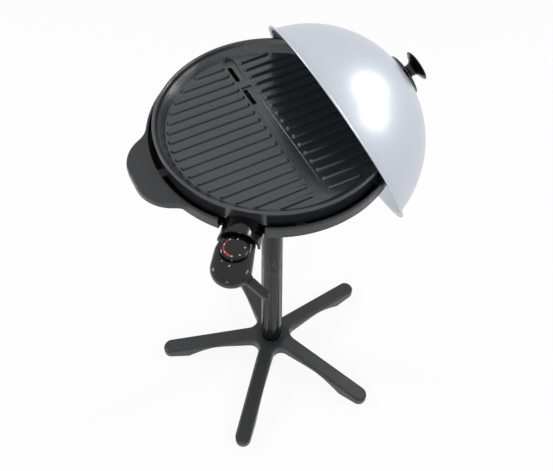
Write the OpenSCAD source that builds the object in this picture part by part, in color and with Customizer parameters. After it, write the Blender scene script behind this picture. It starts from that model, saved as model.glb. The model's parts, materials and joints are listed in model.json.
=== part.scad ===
// Electric grill on a stand, with a plug-in controller and a lift-off dome lid.
// X runs along the ribs and through both handle wings, Y along the drain channel towards the back,
// Z up. The origin is on the floor under the column.

/* [Plate] */
// Height of the plate's lip above the floor
lip_h = 930; // [800:5:1000]
// Outer radius of the plate's lip
plate_r = 225; // [210:1:235]
// How far the lip stands out over the plate's outer wall
lip_out = 2.5; // [1:0.5:3.5]
// Thickness of the plate's wall at the lip
lip_t = 6; // [4:0.5:8]
// Depth of the cooking floor below the lip
plate_depth = 20; // [14:1:24]
// Thickness of the cooking floor
floor_t = 5; // [4:0.5:7]
// Height of the plate's outer wall
skirt_h = 37; // [33:1:42]
// Thickness of the outer wall under the floor
skirt_t = 4; // [3:0.5:5]
// Fillet between the cooking floor and the wall
floor_fillet = 13; // [4:1:15]

/* [Ribs] */
// Spacing of the ribs along the channel
rib_pitch = 22.7; // [20:0.1:26]
// Number of rib rows on each side of the middle row
rib_rows = 8; // [4:1:8]
// Half width of a rib, which is also its height
rib_r = 4.8; // [3:0.1:6]
// Radius of the circle that the ribs end on
rib_end_r = 199; // [185:1:202]
// Distance of the ribs' inner ends from the channel's middle
rib_in = 15.5; // [15:0.5:26]

/* [Drain] */
// Half width of the drain channel
channel_half = 11; // [8:0.5:13]
// Depth of the channel at its back end
channel_deep = 3.4; // [1.5:0.1:4]
// Distance of the channel's front end from the plate's centre
channel_front = 188; // [150:1:195]
// Distance of the channel's back end from the plate's centre
channel_back = 205; // [195:1:208]
// Width of a drain slot
slot_w = 9; // [5:0.5:11]
// Length of a drain slot
slot_len = 46; // [25:1:50]
// Width of the bridge between the two slots
bridge_w = 26; // [20:1:34]
// Sideways offset of the slots from the channel's middle
slot_off = -5; // [-5:0.5:0]

/* [Heating] */
// Radius of the heating element's loop
element_loop = 124; // [112:1:130]
// Radius of the element's tube
element_r = 4; // [3:0.25:4.5]
// Radius of the bends where the element leaves its loop
element_bend = 14; // [12:1:20]
// Half spacing of the two terminal pins
pin_half = 14; // [12:0.5:16]
// Radius of a terminal pin
pin_r = 3; // [2:0.25:3.5]
// Depth of the pins' axis below the plate's lip
pin_drop = 44; // [42:0.5:46]
// Radius of the thermostat probe
probe_r = 2.5; // [2:0.25:3]
// Length of the probe in front of the controller
probe_len = 74; // [50:1:76]

/* [Housing] */
// Gap between the plate's lip and the housing ring
ring_gap = 9.5; // [7:0.5:12]
// Thickness of the housing's walls
shell_t = 3; // [2:0.25:4]
// Width of the ring's top edge
ring_edge = 5.5; // [4:0.5:8]
// Depth of the ring's top below the plate's lip
ring_drop = 25; // [22:1:28]
// Height of the ring's upright band
ring_band = 28; // [24:1:34]
// Depth of the bowl below the band
bowl_drop = 15; // [13:1:24]
// Radius of the bowl's flat bottom
bowl_r = 205; // [195:1:210]
// How far a handle wing reaches beyond the ring
wing_out = 43; // [30:1:48]
// Half length of the straight outer edge of a wing
wing_half = 15; // [10:1:30]
// Corner radius of a wing
wing_corner = 76; // [60:1:84]
// Radius of the hollow where a wing runs into the ring
wing_blend = 50; // [30:1:60]
// Thickness of a wing's edge
wing_t = 15; // [12:1:20]
// Depth of the socket for the column
socket_len = 42; // [30:1:60]

/* [Drip tray] */
// Width of the drip tray
tray_w = 110; // [80:1:140]
// Depth of the drip tray
tray_h = 20; // [14:1:26]
// Distance of the tray's inner end from the column's axis
tray_in = 50; // [48:1:60]
// Distance of the tray's outer end from the column's axis
tray_out = 202; // [195:1:204]

/* [Controller] */
// Direction in which the controller points, counted from the right wing
probe_az = -130.8; // [-135:0.1:-125]
// Outer radius of the hood's arch
hood_r = 37.5; // [37:0.5:41]
// Wall thickness of the hood
hood_t = 3.75; // [2:0.25:4]
// Length of the hood in front of the plate's wall
hood_len = 34; // [28:1:36]
// Height of the hood's arch centre above the pins' axis, negative when below
hood_low = -13; // [-14:0.5:-12]
// Radius of the temperature dial's face
dial_r = 23; // [20:0.5:25]
// Height of the temperature dial
dial_h = 7.5; // [5:0.5:9]
// Distance of the dial's centre from the plate's wall
dial_at = 58; // [56:1:62]
// Radius of the dial's spindle
spindle_r = 3; // [2:0.25:4]
// Radius of the controller's round end
case_end_r = 36; // [34:1:40]
// Distance of the round end's centre from the plate's wall
case_end_at = 85; // [82:1:92]
// Length of the strain-relief boot
boot_len = 38; // [30:1:45]
// Radius of the cord hole in the boot
cord_hole_r = 3.6; // [2.5:0.1:4]

/* [Column] */
// Radius of the column at its foot
pole_foot_r = 28.8; // [27.5:0.1:31]
// Radius of the column's smooth top
pole_top_r = 22.6; // [22:0.1:24]
// Radius of the column's core inside the flutes
pole_core_r = 25.6; // [25:0.1:26.5]
// Wall thickness of the column's tube
pole_wall = 2; // [1.5:0.25:3]
// Number of flutes
flute_n = 9; // [7:1:10]
// Height above the floor where the flutes run out
flute_top = 467; // [400:1:520]
// Height above the floor where the ridges between the flutes end
flute_foot = 145; // [120:1:180]
// Radius of a flute at its foot
flute_r = 5.4; // [3:0.1:6]

/* [Star base] */
// Number of arms
arm_n = 5; // [5:1:6]
// Direction of the first arm, counted from the right wing
arm_az = 11.5; // [0:0.5:30]
// Distance of an arm's rounded end from the column's axis
arm_reach = 286; // [260:1:320]
// Width of an arm's flat top
arm_top_w = 31; // [24:1:36]
// Width of the bevel along an arm's edges
arm_bevel = 5; // [3:0.5:6]
// Height of the hub's top above the floor
hub_h = 87; // [75:1:100]
// Height of an arm's top at its rounded end
arm_tip_h = 30; // [24:1:36]
// Radius of the hub's flat top
hub_flat_r = 45; // [42:1:50]
// Radius of the hollow between two arms
arm_blend = 24; // [14:1:30]
// Height of the arch under the hub
arch_h = 50; // [40:1:54]
// Thickness of a foot pad
pad_t = 4; // [3:0.5:5]
// Radius of a foot pad
pad_r = 14; // [10:0.5:16]

/* [Lid] */
// Inner radius of the dome's opening
lid_open_r = 220; // [219:0.5:226]
// Clearance between the right wing and the parked dome's top
lid_room = 7; // [5:0.5:14]
// Thickness of the lid's sheet
lid_t = 1.2; // [0.8:0.1:1.6]
// Width of the lid's flange
lid_flange = 8; // [6:0.5:8.5]
// Radius of the flange's rolled edge
lid_roll = 1.8; // [1.2:0.1:2.2]
// Tilt of the parked lid's axis above the horizontal
park_tilt = 23.4; // [21:0.2:25]
// Depth of the parked lid's centre below the ring's top
park_drop = 58.5; // [55:0.5:62]
// Clearance between the parked lid's opening and the ring
park_gap = 0.3; // [0.2:0.1:1.5]
// Radius of the heat shield disc under the knob
disc_r = 43; // [32:1:44]
// Radius of the knob's cap
knob_r = 32; // [24:1:34]
// Height of the knob
knob_h = 26; // [22:1:34]
// Radius of the knob's waist
knob_waist = 13; // [10:0.5:16]

/* [Hidden] */
$fn = 96;

// Clearances
seat_gap = 0.3;
running_gap = 0.08;
eps = 0.01;

// Heights that follow from the plate's lip
floor_z = lip_h - plate_depth;
under_z = floor_z - floor_t;
skirt_z = lip_h - skirt_h;
ring_z = lip_h - ring_drop;
band_z = ring_z - ring_band;
bowl_z = band_z - bowl_drop;
bowl_floor_z = bowl_z + shell_t;
wall_r = plate_r - lip_out;
ring_in = plate_r + ring_gap;
ring_r = ring_in + ring_edge;
wing_reach = ring_r + wing_out;
wing_z = ring_z - wing_t;
rim_round = 2.5;

// Ends of the drain slots, which lie on both sides of the element's loop
slot_start = element_loop - bridge_w / 2 - slot_len;
slot_end = element_loop + bridge_w / 2 + slot_len;

// Element and pins
element_z = under_z - element_r - 1.5;
pin_z = lip_h - pin_drop;
clamp_t = 1.5;
block_in = 20;
block_out = 4;

// Colours
dark_plastic = [0.16, 0.16, 0.17];
gloss_black = [0.05, 0.05, 0.055];
coated_metal = [0.2, 0.21, 0.22];
bare_metal = [0.75, 0.76, 0.78];
sheet_silver = [0.8, 0.82, 0.85];
rubber_black = [0.08, 0.08, 0.08];

// Points of an arc round a centre, from one angle to another
function arc(x, y, r, from, to, steps) =
    [for (i = [0 : steps]) let (a = from + (to - from) * i / steps) [x + r * cos(a), y + r * sin(a)]];

// Closed skin over rings of equally many points, given from the lowest to the highest
module skin(rings) {
    n = len(rings[0]);
    last = len(rings) - 1;
    polyhedron(
        points = [for (ring = rings) for (p = ring) p],
        faces = concat(
            [[for (i = [0 : n - 1]) i]],
            [for (k = [0 : last - 1]) for (i = [0 : n - 1])
                [k * n + i, (k + 1) * n + i, (k + 1) * n + (i + 1) % n]],
            [for (k = [0 : last - 1]) for (i = [0 : n - 1])
                [k * n + i, (k + 1) * n + (i + 1) % n, k * n + (i + 1) % n]],
            [[for (i = [n - 1 : -1 : 0]) last * n + i]]
        )
    );
}

// An outline lifted to a height
function at_height(outline, z) = [for (p = outline) [p[0], p[1], z]];

// Round tube along a path that never points straight up
module tube_along(path, r, sides) {
    last = len(path) - 1;
    ring = [for (k = [0 : last]) let (
            t = path[min(k + 1, last)] - path[max(k - 1, 0)],
            u = t / norm(t),
            s = cross(u, [0, 0, 1]) / norm(cross(u, [0, 0, 1])),
            v = cross(s, u)
        ) for (j = [0 : sides - 1]) path[k] + r * (s * cos(j * 360 / sides) + v * sin(j * 360 / sides))];
    polyhedron(
        points = ring,
        faces = concat(
            [[for (j = [0 : sides - 1]) j]],
            [for (k = [0 : last - 1]) for (j = [0 : sides - 1])
                [k * sides + j, (k + 1) * sides + j, (k + 1) * sides + (j + 1) % sides, k * sides + (j + 1) % sides]],
            [[for (j = [sides - 1 : -1 : 0]) last * sides + j]]
        )
    );
}

// Turns a piece so that X points along the controller's direction
module toward_controller() {
    rotate([0, 0, probe_az]) children();
}

// Pan head screw, head up at the origin
module screw(r, len, head_r, head_h) {
    translate([0, 0, -len]) cylinder(r = r, h = len, $fn = 24);
    difference() {
        cylinder(r1 = head_r, r2 = head_r * 0.82, h = head_h, $fn = 32);
        translate([-head_r * 0.6, -head_r * 0.12, head_h * 0.55])
            cube([head_r * 1.2, head_r * 0.24, head_h]);
        translate([-head_r * 0.12, -head_r * 0.6, head_h * 0.55])
            cube([head_r * 0.24, head_r * 1.2, head_h]);
    }
}

// Star base

arm_half = arm_top_w / 2 + arm_bevel;
arm_fall = (hub_h - arm_tip_h) / (arm_reach - hub_flat_r);
sector = 180 / arm_n;
blend_at = (arm_half + arm_blend) / tan(sector);
arch_foot = arm_reach - 50;
arch_crown = arm_reach - 150;
arch_edge = pad_t / 2;

// Height of the star's top at a distance along an arm
function star_top(x) = hub_h - max(0, x - hub_flat_r) * arm_fall;

// Outline of one arm and half of its two corners, set in by a margin; the next arm adds the last point
function arm_points(inset) = concat(
    arc(blend_at, -(arm_half + arm_blend), arm_blend + inset, 180 - sector, 90, 7),
    arc(arm_reach, 0, arm_half - inset, -90, 90, 12),
    arc(blend_at, arm_half + arm_blend, arm_blend + inset, -90, sector - 180 + (90 - sector) / 7, 6)
);

// Ring round the whole star: the arm's outline, set in and lowered from the top
function star_ring(inset, drop) = [
    for (i = [0 : arm_n - 1]) for (p = arm_points(inset))
        let (a = arm_az + 2 * sector * i)
        [p[0] * cos(a) - p[1] * sin(a), p[0] * sin(a) + p[1] * cos(a), star_top(p[0]) - drop]
];

// Ring at the hub's flat top, where the arms' slopes begin
function hub_ring(margin) = [
    for (i = [0 : arm_n - 1]) for (p = arm_points(arm_bevel))
        let (a = arm_az + 2 * sector * i, x = margin * min(p[0], hub_flat_r), y = margin * p[1])
        [x * cos(a) - y * sin(a), x * sin(a) + y * cos(a), hub_h]
];

// Space under an arm: flat on the floor at the foot, arched towards the hub
module arm_arch() {
    rise = arch_h - arch_edge - 0.4;
    rotate([90, 0, 0]) translate([0, 0, -3 * arm_half]) linear_extrude(6 * arm_half)
        polygon(concat(
            [[arch_crown - 6, -hub_h], [1.3 * arm_reach, -hub_h], [1.3 * arm_reach, arch_edge]],
            [for (t = [0 : 0.1 : 1]) [arch_foot + t * (arch_crown - arch_foot), arch_edge + rise * sin(90 * t)]],
            [[arch_crown - 6, arch_edge + rise]]
        ));
}

collar_out = pole_foot_r + 3;
collar_t = 3;

module star_base() {
    color(dark_plastic) difference() {
        skin(concat(
            [[for (p = star_ring(0, 0)) [p[0], p[1], -1]]],
            [for (a = [0, 45, 90]) star_ring(arm_bevel * (1 - cos(a)), arm_bevel * (1 - sin(a)))],
            [hub_ring(0.96)]
        ));
        for (i = [0 : arm_n - 1]) rotate([0, 0, arm_az + 2 * sector * i]) arm_arch();
        translate([0, 0, -2]) cylinder(r = arch_crown, h = arch_h + 2);
        // recess for the collar, hole for the bolt, seat for its washer
        translate([0, 0, hub_h - collar_t]) cylinder(r = collar_out + seat_gap / 2, h = hub_h);
        cylinder(r = bolt_r + 0.5, h = hub_h + 1);
        translate([0, 0, arch_h - 4]) cylinder(r = washer_r + 1, h = 8);
        // recesses for the foot pads
        for (i = [0 : arm_n - 1]) rotate([0, 0, arm_az + 2 * sector * i])
            translate([pad_at, 0, -eps]) cylinder(r = pad_r + 0.2, h = pad_t + eps);
    }
}

pad_at = arm_reach - 18;

module foot_pads() {
    color(rubber_black) for (i = [0 : arm_n - 1]) rotate([0, 0, arm_az + 2 * sector * i])
        translate([pad_at, 0, 0]) {
            cylinder(r1 = pad_r - 0.8, r2 = pad_r, h = 0.8);
            translate([0, 0, 0.8]) cylinder(r = pad_r, h = pad_t - 0.8);
        }
}

// Column

bolt_r = 5;
bolt_len = 46;
washer_r = 16;
washer_t = 2.5;
pole_z = hub_h - collar_t;
plug_h = 40;
spigot_r = pole_top_r - 1.1;
spigot_z = bowl_z - socket_len;
cap_t = 4;

module pole_collar() {
    color(rubber_black) translate([0, 0, hub_h - collar_t]) rotate_extrude()
        polygon([
            [pole_core_r + seat_gap / 2, 0], [collar_out, 0], [collar_out, collar_t],
            [collar_out - 1, collar_t + 1], [pole_core_r + 1.2, collar_t + 1], [pole_core_r + seat_gap / 2, collar_t]
        ]);
}

// Radius of the smooth tapered column at a height
function pole_radius(z) = pole_foot_r + (pole_top_r - pole_foot_r) * (z - pole_z) / (spigot_z - pole_z);

module pole_column() {
    flute_len = flute_top - flute_foot + 12;
    flute_from = flute_foot - 12;
    lean = atan((pole_radius(flute_from) - pole_radius(flute_top)) / flute_len);
    color([0.3, 0.3, 0.32]) difference() {
        rotate_extrude() polygon([
            [pole_core_r - pole_wall, pole_z],
            [pole_core_r, pole_z],
            [pole_core_r, flute_foot - 3],
            [pole_radius(flute_foot) - 1, flute_foot],
            [pole_radius(flute_foot + 3), flute_foot + 3],
            [pole_radius(spigot_z), spigot_z],
            [spigot_r, spigot_z],
            [spigot_r, bowl_z - cap_t],
            [spigot_r - pole_wall, bowl_z - cap_t],
            [spigot_r - pole_wall, spigot_z - 6],
            [pole_core_r - pole_wall, flute_top]
        ]);
        for (i = [0 : flute_n - 1]) rotate([0, 0, i * 360 / flute_n])
            translate([pole_radius(flute_from) + 2.2, 0, flute_from])
                rotate([0, -lean, 0])
                    cylinder(r1 = flute_r, r2 = 2.25, h = flute_len, $fn = 32);
    }
}

module pole_foot_plug() {
    color(dark_plastic) difference() {
        translate([0, 0, pole_z + eps])
            cylinder(r = pole_core_r - pole_wall - 0.05, h = plug_h);
        translate([0, 0, pole_z - 1]) cylinder(r = bolt_r + 0.05, h = plug_h + 2);
    }
}

module base_washer() {
    color(bare_metal) translate([0, 0, arch_h + 4 - washer_t]) difference() {
        cylinder(r = washer_r, h = washer_t);
        translate([0, 0, -1]) cylinder(r = bolt_r + 0.3, h = washer_t + 2);
    }
}

module base_bolt() {
    head_z = arch_h + 4 - washer_t;
    color(bare_metal) {
        translate([0, 0, head_z - 6]) cylinder(r = 9.2, h = 6, $fn = 6);
        translate([0, 0, head_z]) cylinder(r = bolt_r, h = pole_z + plug_h - head_z - 4);
    }
}

module pole_top_cap() {
    color(dark_plastic) difference() {
        union() {
            translate([0, 0, bowl_z - cap_t]) cylinder(r = spigot_r, h = cap_t);
            translate([0, 0, bowl_z - cap_t - 14]) cylinder(r = spigot_r - pole_wall - 0.05, h = 14);
        }
        translate([0, 0, bowl_z - cap_t - 15]) cylinder(r = spigot_r - pole_wall - 3, h = 15);
    }
}

// Housing

socket_in = spigot_r + seat_gap;
socket_out = socket_in + 5;
notch_half = hood_r + 4;
notch_from = sqrt(pow(wall_r, 2) - pow(hood_r, 2)) - 1;
notch_z = band_z - 5;
drain_half = 16;
drain_from = slot_start - 6;
drain_to = slot_end + 6;

// Blend circle that touches the ring and a wing's corner circle from outside
wing_cx = wing_reach - wing_corner;
corner_dist = sqrt(wing_cx * wing_cx + wing_half * wing_half);
corner_dir = atan2(wing_half, wing_cx);
blend_a = ring_r + wing_blend;
blend_b = wing_corner + wing_blend;
blend_turn = acos((blend_a * blend_a + corner_dist * corner_dist - blend_b * blend_b) / (2 * blend_a * corner_dist));
blend_dir = corner_dir + blend_turn;
blend_x = blend_a * cos(blend_dir);
blend_y = blend_a * sin(blend_dir);

join_dir = atan2(blend_y - wing_half, wing_cx - blend_x);

// Half of the housing's outline, with the wing towards positive X, set in by a wall
function half_outline(inset) = concat(
    arc(blend_x, -blend_y, wing_blend + inset, 180 - blend_dir, join_dir, 7),
    arc(wing_cx, -wing_half, wing_corner - inset, join_dir - 180, 0, 12),
    arc(wing_cx, wing_half, wing_corner - inset, 0, 180 - join_dir, 12),
    arc(blend_x, blend_y, wing_blend + inset, -join_dir, blend_dir - 180, 7),
    arc(0, 0, ring_r - inset, blend_dir + 4, 176 - blend_dir, 28)
);

function housing_outline(inset) =
    let (half = half_outline(inset)) concat(half, [for (p = half) -p]);

// Finger hollow under a wing
module finger_hollow() {
    inset = shell_t + 1;
    difference() {
        translate([0, 0, wing_z - 1]) linear_extrude(wing_t - shell_t + 1)
            polygon(concat([[0, 0]], [for (i = [0 : 41]) half_outline(inset)[i]]));
        translate([0, 0, wing_z - 2]) cylinder(r = ring_r + 4, h = wing_t + 4);
    }
}

// Ring and wings in one, with a rounded rim
module housing_rim() {
    steps = [0, 30, 60, 90];
    difference() {
        skin(concat(
            [at_height(housing_outline(0.8), wing_z), at_height(housing_outline(0), wing_z + 0.8)],
            [for (a = steps) at_height(housing_outline(rim_round * (1 - cos(a))), ring_z - rim_round * (1 - sin(a)))]
        ));
        translate([0, 0, wing_z - 1]) cylinder(r = ring_in, h = wing_t + 2);
        finger_hollow();
        rotate([0, 0, 180]) finger_hollow();
    }
}

module base_housing() {
    band_out = ring_r - 1.5;
    band_in = ring_r - shell_t - 1;
    color(dark_plastic) difference() {
        union() {
            housing_rim();
            // bowl, with its band standing inside the ring
            rotate_extrude() polygon([
                [0, bowl_z], [bowl_r, bowl_z], [band_out - 2, band_z], [band_out, band_z + 2],
                [band_out, ring_z - 5], [band_in, ring_z - 5], [band_in, band_z + shell_t],
                [bowl_r - 1, bowl_floor_z], [0, bowl_floor_z]
            ]);
            // socket for the column, with four ribs
            translate([0, 0, spigot_z + seat_gap]) cylinder(r = socket_out, h = socket_len);
            for (a = [45 : 90 : 315]) rotate([0, 0, a])
                rotate([90, 0, 0]) translate([0, 0, -shell_t / 2]) linear_extrude(shell_t)
                    polygon([
                        [socket_out - 1, spigot_z + 8], [socket_out + 4, spigot_z + 8],
                        [socket_out + 34, bowl_z + 1], [socket_out - 1, bowl_z + 1]
                    ]);
            // ledges that carry the plate
            for (a = ledge_dirs) rotate([0, 0, a])
                translate([ledge_in, -9, skirt_z - ledge_h - 0.05])
                    cube([band_in + 1 - ledge_in, 18, ledge_h]);
            // posts for the reflector
            for (a = post_dirs) rotate([0, 0, a])
                translate([post_at, 0, bowl_floor_z - 1]) cylinder(r = 6, h = reflector_z - bowl_floor_z + 1);
        }
        // socket bore
        translate([0, 0, spigot_z - 1]) cylinder(r = socket_in, h = socket_len + 1);
        // notch for the hood and the controller
        toward_controller()
            translate([notch_from, -notch_half, notch_z]) cube([ring_r, 2 * notch_half, ring_z]);
        // drain opening over the tray
        translate([slot_off - drain_half, drain_from, bowl_z - 1])
            cube([2 * drain_half, drain_to - drain_from, shell_t + 2]);
        // holes for the reflector's screws
        for (a = post_dirs) rotate([0, 0, a])
            translate([post_at, 0, post_hole_z]) cylinder(r = 1.7, h = reflector_z);
    }
}

ledge_dirs = [-60, 20, 100, 180, 255];
ledge_in = wall_r - 7;
ledge_h = 6;
post_dirs = [-70, 20, 160];
post_at = 150;
reflector_z = bowl_floor_z + 5;
reflector_t = 0.8;
reflector_rise = 8;
reflector_flat_r = bowl_r - 35;
reflector_brim_r = bowl_r - 13;
reflector_r = bowl_r - 7;
post_hole_z = bowl_z + 1;
post_screw_len = reflector_z + reflector_t - post_hole_z - 0.5;

module table_feet() {
    color(rubber_black) for (a = foot_dirs) rotate([0, 0, a]) translate([foot_at, 0, 0]) difference() {
        translate([0, 0, table_foot_z]) cylinder(r1 = 12, r2 = 14, h = bowl_z - table_foot_z);
        translate([0, 0, table_foot_z - 1]) cylinder(r = 4, h = 4);
    }
}

foot_dirs = [45 : 90 : 315];
foot_at = bowl_r - 50;
table_foot_z = spigot_z - 3;

module heat_reflector() {
    color(bare_metal) difference() {
        rotate_extrude() polygon([
            [0, reflector_z], [reflector_flat_r, reflector_z],
            [reflector_brim_r, reflector_z + reflector_rise], [reflector_r, reflector_z + reflector_rise],
            [reflector_r, reflector_z + reflector_rise + reflector_t],
            [reflector_brim_r - reflector_t / 2, reflector_z + reflector_rise + reflector_t],
            [reflector_flat_r - reflector_t / 2, reflector_z + reflector_t], [0, reflector_z + reflector_t]
        ]);
        translate([slot_off - drain_half, drain_from, reflector_z - 1])
            cube([2 * drain_half, drain_to - drain_from - 6, 30]);
        for (a = post_dirs) rotate([0, 0, a]) translate([post_at, 0, reflector_z - 1]) cylinder(r = 2, h = 3);
    }
}

module reflector_screws() {
    color(bare_metal) for (a = post_dirs) rotate([0, 0, a])
        translate([post_at, 0, reflector_z + reflector_t]) screw(1.6, post_screw_len, 4, 2.2);
}

// Drip tray and its rails

tray_lip = 6;
tray_wall = 1.5;
tray_top = bowl_z - 1;
tray_z = tray_top - tray_h;
rail_w = 11;

module tray_rails() {
    color(dark_plastic) for (s = [0, 1]) mirror([s, 0, 0])
        translate([tray_w / 2 + 1, tray_in + 4, 0]) rotate([90, 0, 0]) mirror([0, 0, 1])
            linear_extrude(tray_out - tray_in - 24) polygon([
                [0, tray_top - 6], [rail_w, tray_top - 6], [rail_w, bowl_z], [rail_w - 3, bowl_z],
                [rail_w - 3, tray_top - 3], [0, tray_top - 3]
            ]);
}

module drip_tray() {
    color(bare_metal) difference() {
        union() {
            translate([-tray_w / 2, tray_in, tray_z]) cube([tray_w, tray_out - tray_in, tray_h - 0.5]);
            translate([-tray_w / 2 - tray_lip, tray_in, tray_top - 2.9])
                cube([tray_w + 2 * tray_lip, tray_out - tray_in, 1.9]);
            // front grip
            translate([-tray_w / 2 - tray_lip, tray_out - 2, tray_z])
                cube([tray_w + 2 * tray_lip, 3, tray_h - 0.5]);
            translate([-25, tray_out, tray_z]) cube([50, 12, 3]);
        }
        translate([-tray_w / 2 + tray_wall, tray_in + tray_wall, tray_z + tray_wall])
            cube([tray_w - 2 * tray_wall, tray_out - tray_in - 2 * tray_wall - 2, tray_h]);
    }
}

// Grill plate

boss_in = 150;
boss_out = 172;

// A bar with round ends along X, half of it above the floor
module rib(x0, x1, y) {
    translate([x0 + rib_r, y, floor_z]) rotate([0, 90, 0]) rotate_extrude($fn = 32) difference() {
        union() {
            square([rib_r, x1 - x0 - 2 * rib_r]);
            circle(r = rib_r);
            translate([0, x1 - x0 - 2 * rib_r]) circle(r = rib_r);
        }
        translate([-2 * rib_r, -2 * rib_r]) square([2 * rib_r, x1 - x0 + 4 * rib_r]);
    }
}

module plate_profile() {
    in_r = plate_r - lip_t;
    floor_r = in_r - 4;
    polygon([
        [0, under_z], [wall_r - skirt_t, under_z], [wall_r - skirt_t, skirt_z], [wall_r, skirt_z],
        [wall_r, lip_h - 8], [plate_r, lip_h - 5], [plate_r, lip_h - 1.5], [plate_r - 1.5, lip_h],
        [in_r + 1.5, lip_h], [in_r, lip_h - 1.5], [floor_r, floor_z + floor_fillet],
        [floor_r - floor_fillet, floor_z], [0, floor_z]
    ]);
    // hollow fillet round the floor
    difference() {
        translate([floor_r - floor_fillet, floor_z - eps])
            square([floor_fillet + eps, floor_fillet]);
        translate([floor_r - floor_fillet, floor_z + floor_fillet]) circle(r = floor_fillet);
    }
    // bead that holds the element from above
    difference() {
        translate([element_loop - element_r - 3, element_z])
            square([2 * element_r + 6, under_z - element_z + eps]);
        translate([element_loop, element_z]) circle(r = element_r + element_gap, $fn = 48);
    }
}

// Room above the drain channel's sloping floor
module channel_cut() {
    back = channel_back - channel_half;
    slope = atan(channel_deep / (channel_front + back));
    intersection() {
        translate([0, 0, floor_z - 2 * channel_deep]) linear_extrude(20)
            polygon(concat(
                [[-channel_half, -channel_front - 1], [channel_half, -channel_front - 1]],
                arc(0, back, channel_half, 0, 180, 16)
            ));
        translate([-2 * channel_half, -channel_front, floor_z]) rotate([-slope, 0, 0])
            cube([4 * channel_half, 2 * (channel_front + back), 20]);
    }
}

module drain_slot(y0) {
    translate([slot_off, y0 + slot_w / 2, under_z - 12]) cylinder(r = slot_w / 2, h = 40);
    translate([slot_off - slot_w / 2, y0 + slot_w / 2, under_z - 12]) cube([slot_w, slot_len - slot_w, 40]);
    translate([slot_off, y0 + slot_len - slot_w / 2, under_z - 12]) cylinder(r = slot_w / 2, h = 40);
}

module grill_plate() {
    color(coated_metal) difference() {
        union() {
            difference() {
                rotate_extrude() plate_profile();
                channel_cut();
            }
            for (i = [-rib_rows : rib_rows]) {
                y = i * rib_pitch;
                reach = sqrt(rib_end_r * rib_end_r - y * y);
                rib(rib_in, reach, y);
                rib(-reach, -rib_in, y);
            }
            // bridge over the element between the slots
            translate([-channel_half + eps, element_loop - bridge_w / 2 + 5, floor_z - channel_deep - 0.5])
                cube([2 * channel_half - 2 * eps, bridge_w - 10, channel_deep + 0.5]);
            // boss for the probe's tube
            toward_controller() translate([boss_in, -8, pin_z - 7]) cube([boss_out - boss_in, 16, under_z - pin_z + 7 + eps]);
        }
        drain_slot(slot_start);
        drain_slot(slot_end - slot_len);
        toward_controller() {
            // bore for the probe's tube
            translate([boss_in - 1, 0, pin_z]) rotate([0, 90, 0]) cylinder(r = tube_r + 0.05, h = boss_out - boss_in + 2);
            // room for the element's cold ends through the bead
            for (s = [0, 1]) mirror([0, s, 0])
                translate([element_loop - 14, pin_half - element_r - 1, element_z - 10])
                    cube([30, element_bend + element_r + 1, under_z - element_z + 10 - 0.5]);
        }
    }
}

// Heating element and terminals

tube_r = probe_r + 1.6;
bend_t = pin_half + element_bend;
bend_d = element_loop + element_bend;
bend_at = sqrt(bend_d * bend_d - bend_t * bend_t);
bend_turn = atan2(bend_t, bend_at);
lead_end = wall_r - block_in;
element_step = 7.5;
element_gap = 0.1 + element_loop * (1 - cos(element_step / 2));

// Path of half the element, from the loop's far side to a cold end, for one side
function element_half() = concat(
    [for (a = [180 : -element_step : bend_turn]) [element_loop * cos(a), element_loop * sin(a), element_z]],
    [for (p = arc(bend_at, bend_t, element_bend, 180 + bend_turn, 270, 5)) [p[0], p[1], element_z]],
    [[bend_at + 12, pin_half, element_z], [lead_end - 20, pin_half, pin_z], [lead_end, pin_half, pin_z]]
);

module heating_element() {
    half = element_half();
    n = len(half);
    path = concat(
        [for (i = [n - 1 : -1 : 1]) half[i]],
        [for (p = half) [p[0], -p[1], p[2]]]
    );
    color([0.35, 0.35, 0.36]) toward_controller() tube_along(path, element_r, 12);
}

clamp_dirs = [30, 150, 265];

module element_clamps() {
    color(bare_metal) for (a = clamp_dirs) rotate([0, 0, a])
        translate([element_loop, 0, 0]) difference() {
            union() {
                translate([-element_r - 16, -6, element_z - element_r - clamp_t - 0.1])
                    cube([2 * element_r + 18, 12, clamp_t]);
                translate([-element_r - 16, -6, element_z - element_r - clamp_t - 0.1])
                    cube([8, 12, under_z - element_z + element_r + clamp_t + 0.1]);
            }
            translate([-element_r - 12, 0, element_z - 20]) cylinder(r = 1.6, h = 40, $fn = 24);
        }
}

module clamp_screws() {
    color(bare_metal) for (a = clamp_dirs) rotate([0, 0, a])
        translate([element_loop - element_r - 12, 0, element_z - element_r - clamp_t - 0.1])
            rotate([180, 0, 0]) screw(1.5, under_z - element_z + element_r + clamp_t, 3.4, 2);
}

module terminal_pins() {
    color(bare_metal) toward_controller() for (s = [-1, 1])
        translate([lead_end + element_r + 0.2, s * pin_half, pin_z]) rotate([0, 90, 0]) {
            cylinder(r = pin_r, h = block_in + pin_out - 1);
            translate([0, 0, block_in + pin_out - 1]) cylinder(r1 = pin_r, r2 = pin_r - 1, h = 1);
        }
}

pin_out = 20;

module terminal_block() {
    color([0.85, 0.83, 0.78]) toward_controller() difference() {
        translate([lead_end + element_r + 0.4, -pin_half - 8, pin_z - 4.4])
            cube([block_in + block_out - element_r, 2 * pin_half + 16, skirt_z - pin_z + 4.4]);
        for (s = [-1, 1])
            translate([lead_end - 1, s * pin_half, pin_z]) rotate([0, 90, 0]) cylinder(r = pin_r + 0.05, h = 60);
        translate([lead_end - 1, 0, pin_z]) rotate([0, 90, 0]) cylinder(r = tube_r + 0.05, h = 60);
    }
}

module probe_tube() {
    color(bare_metal) toward_controller() difference() {
        translate([boss_in, 0, pin_z]) rotate([0, 90, 0]) cylinder(r = tube_r, h = wall_r + block_out - boss_in);
        translate([boss_in + 2, 0, pin_z]) rotate([0, 90, 0]) cylinder(r = probe_r + seat_gap, h = wall_r);
    }
}

// Hood over the socket

hood_z = pin_z + hood_low;
hood_back = wall_r + seat_gap;
hood_front = wall_r + hood_len;
hood_foot = 1;

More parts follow.
